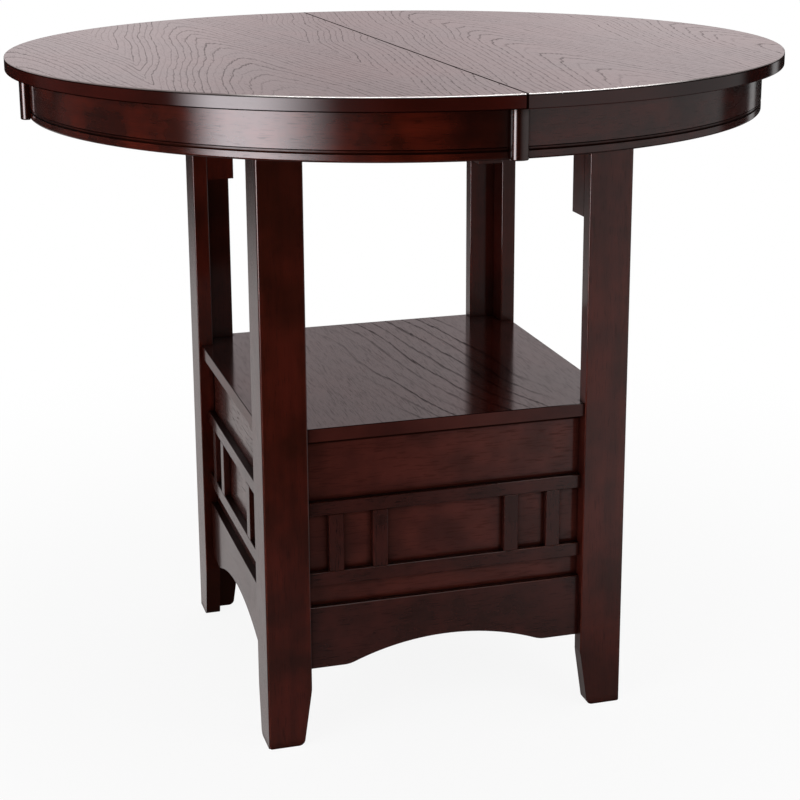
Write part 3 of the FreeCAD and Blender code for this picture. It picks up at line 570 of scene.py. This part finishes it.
finishes = {
    "leftTopOak": {**topOak, "lowLine": (0.8976, 0.8982), "flame": {
        "Crest": 0.24, "Leaf Width": 0.285, "Pith Depth": 0.035, "Taper": 0.13,
        "Ring Width": 0.008, "Sway": 0.05, "Drift": 0.01, "Jag": 0.045, "Seed": 3.0}},
    "rightTopOak": {**topOak, "edgeDeep": (28, 6, 4), "edgeWarm": (42, 11, 7), "flame": {
        "Crest": -0.17, "Leaf Width": 0.32, "Pith Depth": 0.045, "Taper": 0.13,
        "Ring Width": 0.008, "Sway": 0.05, "Drift": 0.01, "Jag": 0.045, "Seed": 7.5}},
    "shelfOak": {**oak, "grain": "y", "lineDepth": 0.85, "lineDull": 0.85, "coat": 0.9, "edge": "straight",
                 "darkArris": 0.9, "poreDull": 0.32, "poreShare": 0.45, "ringPores": 0.0,
                 "edgeDeep": (46, 17, 13), "edgeWarm": (64, 26, 20), "edgeCoat": 0.9,
                 "coatRoughness": 0.13, "figureRise": (-0.17, -0.13), "figureFall": (0.0, 0.08),
                 "figureRest": 0.1, "flame": {
                     "Crest": -0.3, "Leaf Width": 1.4, "Pith Depth": 0.03, "Taper": -0.2,
                     "Ring Width": 0.026, "Sway": 0.08, "Drift": 0.035, "Jag": 0.05, "Seed": 12.0}},
    "leftApronCherry": {**apronCherry, "deep": (42, 10, 5), "warm": (72, 19, 8),
                        "seamShade": (0.03, 0.13, 0.65, 0.0)},
    "rightApronCherry": {**apronCherry, "deep": (33, 8, 5), "warm": (58, 15, 9)},
    "edgeBlockCherry": {**lacquered, "grain": "z", "deep": (16, 4, 3), "warm": (28, 7, 5), "coatIor": 1.6,
                        "coatRoughness": 0.05, "peel": 0.05, "paintedCornerShadeReach": 0.012},
    "legCherry": {**legCherry, "deep": (40, 10, 5), "warm": (62, 16, 9)},
    # the front right leg's finish: partly the board's own tone, partly painted light from the right
    "warmLitLegCherry": {**legCherry, "deep": (44, 12, 8), "warm": (66, 20, 13)},
    "longPanelOak": {**panelOak, "deep": (52, 20, 16), "warm": (71, 29, 23), "poreWidth": 0.0008,
                     "poreLength": 0.011, "poreDark": 0.34, "poreShare": 0.46},
    "sidePanelOak": {**panelOak, "grain": "y", "deep": (48, 19, 15), "warm": (66, 27, 21),
                     "poreWidth": 0.0011, "poreLength": 0.016, "poreDark": 0.6, "poreShare": 0.45,
                     "poreDull": 0.5},
    "longBoardCherry": boardCherry,
    "sideBoardCherry": {**boardCherry, "grain": "y"},
    "slatCherry": {**boardCherry, "grain": "z", "paintedCornerShadeReach": 0.012},
    "longRailPoplar": railPoplar,
    "sideRailPoplar": {**railPoplar, "grain": "y"},
    "cleatPine": {**rawWood, "grain": "z", "streakWidth": 0.009},
    "gluePine": {**rawWood, "grain": "round", "streakWidth": 0.008},
    "dowelBeech": {**rawWood, "streakWidth": 0.004},
}

zinc = {
    "bright": (170, 168, 160), "dull": (128, 126, 118), "grit": 0.17, "bump": 0.15, "bumpDepth": 0.0001,
    "metallic": 1.0, "drawn": (1500.0, 1500.0, 60.0),
}

metals = {
    "fastenerZinc": zinc,
    "bracketZinc": {**zinc, "bright": (190, 182, 158), "dull": (146, 140, 120), "grit": 0.2,
                    "drawn": (400.0, 400.0, 400.0)},
    "runnerAluminium": {**zinc, "bright": (200, 200, 202), "dull": (176, 176, 178), "grit": 0.16,
                        "drawn": (30.0, 1800.0, 1800.0)},
    "pinionNylon": {**zinc, "bright": (226, 224, 216), "dull": (206, 203, 192), "grit": 0.4, "bump": 0.1,
                    "metallic": 0.0, "drawn": (300.0, 300.0, 300.0)},
}

materials = {name: woodMaterial(name, values) for name, values in finishes.items()}
materials.update({name: metalMaterial(name, values) for name, values in metals.items()})
print("finishes ready:", len(materials))


# Which finish each piece takes, by the first ending in this list that fits the piece's name
finishOf = [
    ("left_top", "leftTopOak"), ("right_top", "rightTopOak"), ("shelf", "shelfOak"),
    ("left_front_apron", "leftApronCherry"), ("left_back_apron", "leftApronCherry"),
    ("_apron", "rightApronCherry"), ("end_block", "edgeBlockCherry"), ("seam_blocks", "edgeBlockCherry"),
    ("front_panel", "longPanelOak"), ("back_panel", "longPanelOak"),
    ("left_panel", "sidePanelOak"), ("right_panel", "sidePanelOak"),
    ("front_lattice_strips", "longBoardCherry"), ("back_lattice_strips", "longBoardCherry"),
    ("left_lattice_strips", "sideBoardCherry"), ("right_lattice_strips", "sideBoardCherry"),
    ("lattice_slats", "slatCherry"),
    ("front_arched_board", "longBoardCherry"), ("back_arched_board", "longBoardCherry"),
    ("left_arched_board", "sideBoardCherry"), ("right_arched_board", "sideBoardCherry"),
    ("front_top_rail", "longRailPoplar"), ("back_top_rail", "longRailPoplar"),
    ("left_top_rail", "sideRailPoplar"), ("right_top_rail", "sideRailPoplar"),
    ("front_right_leg_front_board", "warmLitLegCherry"), ("leg_front_board", "legCherry"),
    ("leg_back_board", "legCherry"), ("leg_side_board", "legCherry"), ("leg_block", "legCherry"),
    ("box_corner_cleats", "cleatPine"), ("glue_blocks", "gluePine"), ("alignment_dowels", "dowelBeech"),
    ("_runner", "runnerAluminium"), ("_pinion", "pinionNylon"), ("corner_brackets", "bracketZinc"),
    ("bracket_bolts", "fastenerZinc"), ("leg_bolts", "fastenerZinc"),
    ("frame_screws", "fastenerZinc"), ("runner_screws", "fastenerZinc"),
]


# The cover blocks' rounded fronts: lengths in metres, and the angle in degrees
coverBlocks = {
    "width": 0.022, "apronRadius": 0.5053, "outerRadius": 0.517, "cornerRadius": 0.0085, "cornerSteps": 14,
    "backSteps": 6, "lowRound": 0.0012, "lowSteps": 4, "plainFrom": 0.0018, "sharpAngle": 40,
}


def coverBlockRings(low, high):
    # One closed outline, repeated up the block: an arc of the apron's radius at the back, two quarter
    # circles at the front corners. Near the lower end it shrinks by round * (1 - sin t) at height
    # round * (1 - cos t), which rounds that edge.
    half, corner = coverBlocks["width"] / 2, coverBlocks["cornerRadius"]
    front, back = coverBlocks["outerRadius"], coverBlocks["apronRadius"]
    turns = np.linspace(0, math.pi / 2, coverBlocks["cornerSteps"])
    cornerX = front - corner + corner * np.sin(turns)
    cornerY = corner - half - corner * np.cos(turns)
    spread = np.linspace(half, -half, coverBlocks["backSteps"] + 2)
    x = np.concatenate([cornerX, cornerX[::-1], np.sqrt(back ** 2 - spread ** 2)])
    y = np.concatenate([cornerY, -cornerY[::-1], spread])
    lean = np.linspace(0, math.pi / 2, coverBlocks["lowSteps"])
    shrink = np.append(coverBlocks["lowRound"] * (1 - np.sin(lean)), [0.0, 0.0])
    rise = low + coverBlocks["lowRound"] * (1 - np.cos(lean))
    height = np.append(rise, [low + coverBlocks["plainFrom"], high])
    middle, deep = (front + back) / 2, (front - back) / 2
    ringX = middle + np.outer(1 - shrink / deep, x - middle)
    ringY = np.outer(1 - shrink / half, y)
    return np.stack([ringX, ringY, np.repeat(height[:, None], x.size, 1)], -1)


def makeCoverBlocks(name, nodeName, turns, body):
    # turns: where each block stands round the table, in radians from +x
    low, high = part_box(nodeName)
    rings = coverBlockRings(low[2], high[2])
    levels, count = rings.shape[:2]
    level, place = np.meshgrid(np.arange(levels - 1), np.arange(count), indexing="ij")
    after = (place + 1) % count
    quads = np.stack([level * count + place, level * count + after,
                      (level + 1) * count + after, (level + 1) * count + place], -1).reshape(-1, 4)
    ends = [np.arange(count)[::-1], np.arange(count) + (levels - 1) * count]
    points, faces = [], []
    for number, turn in enumerate(turns):
        cos, sin = math.cos(turn), math.sin(turn)
        spin = np.array([[cos, sin, 0], [-sin, cos, 0], [0, 0, 1]])
        first = number * levels * count
        points += (rings.reshape(-1, 3) @ spin).tolist()
        faces += (quads + first).tolist() + [(end + first).tolist() for end in ends]
    mesh = bpy.data.meshes.new(name)
    mesh.from_pydata(points, [], faces)
    mesh.shade_smooth()
    mesh.set_sharp_from_angle(angle=math.radians(coverBlocks["sharpAngle"]))
    mesh.materials.append(materials["edgeBlockCherry"])
    piece = bpy.data.objects.new(name, mesh)
    bpy.context.scene.collection.objects.link(piece)
    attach(piece, body)
    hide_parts(nodeName)


def dressNodes():
    for name, node in nodes.items():
        found = [finish for ending, finish in finishOf if name.endswith(ending)]
        if not found:
            raise ValueError("no finish for " + name)
        node.data.materials.clear()
        node.data.materials.append(materials[found[0]])
    print("pieces dressed")


dressNodes()
makeCoverBlocks("seamCoverBlocks", "seam_blocks", (-math.pi / 2, math.pi / 2), "right_half")
makeCoverBlocks("leftCoverBlock", "left_end_block", (math.pi,), "left_half")
makeCoverBlocks("rightCoverBlock", "right_end_block", (0.0,), "right_half")
print("cover blocks made")


# Floor, world, lamps and camera

# The camera sees part of the floor's own lit colour and part plain white. floorGlow is two distances from
# the table's middle and the white's share at each. panelSoft is the fade, in degrees, of the gloss
# panels' upper and lower edges.
studio = {
    "floorRadius": 9.0, "floorRings": 24, "floorTurns": 96, "floorColour": (240, 240, 240),
    "floorRoughness": 0.9, "floorGlow": (0.5, 1.7, 0.9, 1.0), "skyLevel": 0.42, "glossLevel": 0.01,
    "panelSoft": 6.0,
}

# What gloss shows of the studio, as panels seen from the table: turn is counted in degrees from the
# front (-Y) towards +X, height in degrees above the floor's horizon, and soft is the width of the left
# and right edges. A level below 0 darkens what lies behind.
glossPanels = {
    "softBox": {"turn": (-73.5, -44), "height": (-14, 5), "soft": (16, 28), "level": 11.3,
                "colour": (1.0, 0.95, 0.99)},
    "softBoxSpill": {"turn": (-60, -24), "height": (-60, 8), "soft": (10, 20), "level": 0.15},
    "frontRoom": {"turn": (-84, 24), "height": (8, 60), "soft": (10, 8), "level": 0.4},
    "leftRoom": {"turn": (-150, -80), "height": (8, 60), "soft": (10, 8), "level": 0.45},
    "rightWall": {"turn": (20.5, 101), "height": (-23, 60), "soft": (10, 6), "level": 0.38},
    "rightWallNear": {"turn": (20.5, 75), "height": (-23, 60), "soft": (10, 50), "level": 0.22},
    "frontFloor": {"turn": (-40, 110), "height": (-90, -22), "soft": (10, 10), "level": 0.12},
    "backWall": {"turn": (121, 220), "height": (1, 60), "soft": (6, 8), "level": 0.82,
                 "colour": (1.0, 0.87, 0.88)},
    "backDrape": {"turn": (160, 169), "height": (1, 60), "soft": (12, 8), "level": -0.16},
    "backFloor": {"turn": (140, 220), "height": (-90, -12), "soft": (8, 8), "level": 0.48,
                  "colour": (1.0, 0.93, 0.92)},
    "farDoorway": {"turn": (124, 131), "height": (-20, 1), "soft": (3, 4), "level": 0.6},
    "leftWall": {"turn": (-140, -84), "height": (-60, 60), "soft": (8, 8), "level": 0.05},
    "ceiling": {"turn": (-200, 200), "height": (58, 95), "soft": (8, 8), "level": 1.2},
    "frontTopBox": {"turn": (-80, 60), "height": (60, 80), "soft": (8, 8), "level": 24.0},
    "rightTopBox": {"turn": (50, 135), "height": (48, 70), "soft": (8, 8), "level": 16.0},
}


def makeFloor():
    # a disc at z = 0: rings of points at growing radius, joined by quads round one centre point
    steps, turns = studio["floorRings"], studio["floorTurns"]
    radii = studio["floorRadius"] * (np.arange(1, steps + 1) / steps) ** 2
    angles = np.arange(turns) * 2 * math.pi / turns
    x = np.outer(radii, np.cos(angles)).ravel()
    y = np.outer(radii, np.sin(angles)).ravel()
    points = np.column_stack([np.append(x, 0), np.append(y, 0), np.zeros(x.size + 1)])
    ring, turn = np.meshgrid(np.arange(steps - 1), np.arange(turns), indexing="ij")
    after = (turn + 1) % turns
    quads = np.stack([ring * turns + turn, (ring + 1) * turns + turn,
                      (ring + 1) * turns + after, ring * turns + after], -1).reshape(-1, 4)
    inner = np.column_stack([np.full(turns, x.size), np.arange(turns), (np.arange(turns) + 1) % turns])
    mesh = bpy.data.meshes.new("floor")
    mesh.from_pydata(points.tolist(), [], quads.tolist() + inner.tolist())
    floor = bpy.data.objects.new("floor", mesh)
    bpy.context.scene.collection.objects.link(floor)
    floor.visible_glossy = False
    material, tree, shader = newMaterial("paleFloor")
    fill(tree, shader, {
        "Base Color": srgb(*studio["floorColour"]), "Roughness": studio["floorRoughness"],
        "Specular IOR Level": 0.0})
    white = addNode(tree, "ShaderNodeEmission").outputs[0]
    seen = addNode(tree, "ShaderNodeLightPath").outputs["Is Camera Ray"]
    away = addNode(tree, "ShaderNodeVectorMath", {0: objectPlace(tree)}, operation="LENGTH").outputs["Value"]
    share = times(tree, seen, remap(tree, away, *studio["floorGlow"]))
    shown = mixShaders(tree, share, shader.outputs[0], white)
    fill(tree, tree.nodes["Material Output"], {"Surface": shown})
    mesh.materials.append(material)


def fadeAt(middle, soft):
    # where a fade of the soft width begins and ends, centred on the middle
    return middle - soft / 2, middle + soft / 2


def makeBackground(tree, colour, strength):
    return addNode(tree, "ShaderNodeBackground", {"Color": colour, "Strength": strength}).outputs[0]


def makeWorld():
    # white where the camera looks, plain light for matt surfaces, and the panels for gloss
    world = bpy.data.worlds.new("studio")
    bpy.context.scene.world = world
    world.use_nodes = True
    tree = world.node_tree
    tree.nodes.clear()
    way = partsOf(tree, addNode(tree, "ShaderNodeTexCoord").outputs["Generated"])
    turn = calc(tree, "DEGREES", calc(tree, "ARCTAN2", way["X"], times(tree, way["Y"], -1.0)))
    height = calc(tree, "DEGREES", calc(tree, "ARCSINE", way["Z"]))
    total = (studio["glossLevel"],) * 3
    for panel in glossPanels.values():
        rise, fall = (fadeAt(side, soft) for side, soft in zip(panel["turn"], panel["soft"]))
        low, high = (fadeAt(end, studio["panelSoft"]) for end in panel["height"])
        if panel["turn"][1] > 180:
            # a panel that crosses the line behind the table
            past = remap(tree, turn, fall[0] - 360, fall[1] - 360, 1.0, 0.0)
            across = calc(tree, "MAXIMUM", remap(tree, turn, *rise), past)
        else:
            across = between(tree, turn, rise, fall)
        shown = times(tree, across, between(tree, height, low, high))
        colour = [panel["level"] * share for share in panel.get("colour", (1, 1, 1))]
        bright = addNode(tree, "ShaderNodeVectorMath", {0: colour, "Scale": shown}, operation="SCALE")
        total = vectorMath(tree, "ADD", total, bright.outputs[0])
    sky = makeBackground(tree, (1.0, 1.0, 1.0), studio["skyLevel"])
    gloss = makeBackground(tree, total, 1.0)
    white = makeBackground(tree, (1.0, 1.0, 1.0), 1.0)
    path = addNode(tree, "ShaderNodeLightPath").outputs
    seen = calc(tree, "MAXIMUM", path["Is Camera Ray"], path["Is Transmission Ray"])
    lit = mixShaders(tree, path["Is Glossy Ray"], sky, gloss)
    addNode(tree, "ShaderNodeOutputWorld", {"Surface": mixShaders(tree, seen, lit, white)})


def makeLamp(name, place, target, size, radiance):
    light = bpy.data.lights.new(name, "AREA")
    light.shape = "RECTANGLE"
    light.size, light.size_y = size
    light.energy = radiance * math.pi * size[0] * size[1]
    lamp = bpy.data.objects.new(name, light)
    lamp.location = place
    lamp.rotation_euler = (Vector(target) - Vector(place)).to_track_quat("-Z", "Y").to_euler()
    lamp.visible_camera = False
    lamp.visible_glossy = False
    bpy.context.scene.collection.objects.link(lamp)


lamps = {
    "softBox": {"place": (-2.27, -1.4, 0.75), "target": (-0.3, -0.4, 0.6), "size": (1.4, 1.9),
                "radiance": 4.6},
    "ceilingPanel": {"place": (0.4, 0.3, 3.2), "target": (0.0, 0.0, 0.9), "size": (2.4, 2.4),
                     "radiance": 2.0},
    "rightFill": {"place": (1.1, -1.4, 1.15), "target": (0.1, -0.2, 0.7), "size": (0.9, 0.9),
                  "radiance": 2.2},
}

# The camera's place in metres, and its turns in degrees: to the right, down and over. The focal length,
# the middle of the view and the frame are in pixels, and the sensor in millimetres.
view = {
    "place": (-0.70728, -2.41298, 1.18535), "yaw": 15.777, "pitch": 14.558, "roll": -0.466,
    "focal": 1793.6, "middle": (378.0, 310.0), "frame": 800.0, "sensor": 36.0,
}


def makeCamera():
    yaw, pitch, roll = (math.radians(view[k]) for k in ("yaw", "pitch", "roll"))
    ahead = Vector((math.sin(yaw) * math.cos(pitch), math.cos(yaw) * math.cos(pitch), -math.sin(pitch)))
    level = Vector((math.cos(yaw), -math.sin(yaw), 0.0))
    upright = level.cross(ahead)
    right = level * math.cos(roll) + upright * math.sin(roll)
    above = upright * math.cos(roll) - level * math.sin(roll)
    data = bpy.data.cameras.new("photoView")
    data.sensor_width = view["sensor"]
    data.lens = view["focal"] * view["sensor"] / view["frame"]
    data.shift_x = 0.5 - view["middle"][0] / view["frame"]
    data.shift_y = view["middle"][1] / view["frame"] - 0.5
    camera = bpy.data.objects.new("photoView", data)
    turn = Matrix((right, above, -ahead)).transposed().to_4x4()
    camera.matrix_world = Matrix.Translation(view["place"]) @ turn
    bpy.context.scene.collection.objects.link(camera)
    bpy.context.scene.camera = camera


makeFloor()
makeWorld()
for name, values in lamps.items():
    makeLamp(name, **values)
makeCamera()
bpy.context.scene.view_settings.view_transform = "Standard"
print("studio ready")
